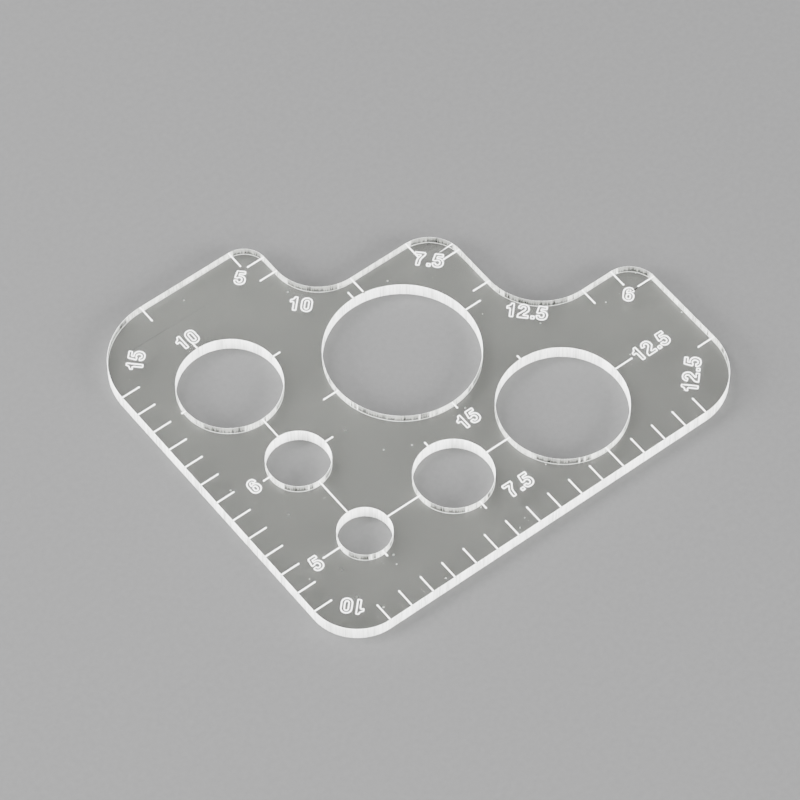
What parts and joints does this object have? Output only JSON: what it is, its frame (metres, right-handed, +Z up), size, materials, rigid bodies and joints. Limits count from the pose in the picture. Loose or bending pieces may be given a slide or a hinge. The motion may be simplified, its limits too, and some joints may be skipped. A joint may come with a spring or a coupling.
{
  "type": "circle template",
  "caption": "Clear acrylic drawing template: a stepped plate with round cut-outs, rounded outer and inner corners for drawing radii, and a scored scale along two edges.",
  "frame": {"origin": "middle of the plate's length and width, on the face it rests on", "axes": "+X along the long scale, away from the corner that both scales share; +Y along the short scale; +Z up, out of the marked face"},
  "size_m": [0.0974, 0.085, 0.003],
  "materials": {
    "clear_acrylic": "clear, polished faces with bright laser-cut edges",
    "scored_mark": "frosted white, matt"
  },
  "bodies": {
    "root": {"first_tab_arc_end_mark": "scored_mark", "first_tab_arc_start_mark": "scored_mark", "last_tab_arc_end_mark": "scored_mark", "last_tab_arc_start_mark": "scored_mark", "long_scale_mark_01": "scored_mark", "long_scale_mark_02": "scored_mark", "long_scale_mark_03": "scored_mark", "long_scale_mark_04": "scored_mark", "long_scale_mark_05": "scored_mark", "long_scale_mark_06": "scored_mark", "long_scale_mark_07": "scored_mark", "long_scale_mark_08": "scored_mark", "long_scale_mark_09": "scored_mark", "long_scale_mark_10": "scored_mark", "long_scale_mark_11": "scored_mark", "long_scale_mark_12": "scored_mark", "long_scale_mark_13": "scored_mark", "long_scale_mark_14": "scored_mark", "long_scale_mark_15": "scored_mark", "long_scale_mark_16": "scored_mark", "lower_notch_arc_end_mark": "scored_mark", "lower_notch_arc_start_mark": "scored_mark", "middle_tab_arc_end_mark": "scored_mark", "middle_tab_arc_start_mark": "scored_mark", "r10_east_mark": "scored_mark", "r10_north_mark": "scored_mark", "r12_5_east_mark": "scored_mark", "r12_5_north_mark": "scored_mark", "r15_east_mark": "scored_mark", "r15_north_mark": "scored_mark", "r15_south_mark": "scored_mark", "r15_west_mark": "scored_mark", "r5_south_mark": "scored_mark", "r5_to_r6_centre_line": "scored_mark", "r5_to_r7_5_centre_line": "scored_mark", "r5_west_mark": "scored_mark", "r6_east_mark": "scored_mark", "r6_to_r10_centre_line": "scored_mark", "r6_west_mark": "scored_mark", "r7_5_north_mark": "scored_mark", "r7_5_south_mark": "scored_mark", "r7_5_to_r12_5_centre_line": "scored_mark", "right_corner_arc_end_mark": "scored_mark", "short_scale_mark_01": "scored_mark", "short_scale_mark_02": "scored_mark", "short_scale_mark_03": "scored_mark", "short_scale_mark_04": "scored_mark", "short_scale_mark_05": "scored_mark", "short_scale_mark_06": "scored_mark", "short_scale_mark_07": "scored_mark", "short_scale_mark_08": "scored_mark", "short_scale_mark_09": "scored_mark", "short_scale_mark_10": "scored_mark", "short_scale_mark_11": "scored_mark", "short_scale_mark_12": "scored_mark", "short_scale_mark_13": "scored_mark", "template_plate": "clear_acrylic", "top_corner_arc_start_mark": "scored_mark", "upper_notch_arc_end_mark": "scored_mark", "upper_notch_arc_start_mark": "scored_mark"}
  },
  "joints": []
}
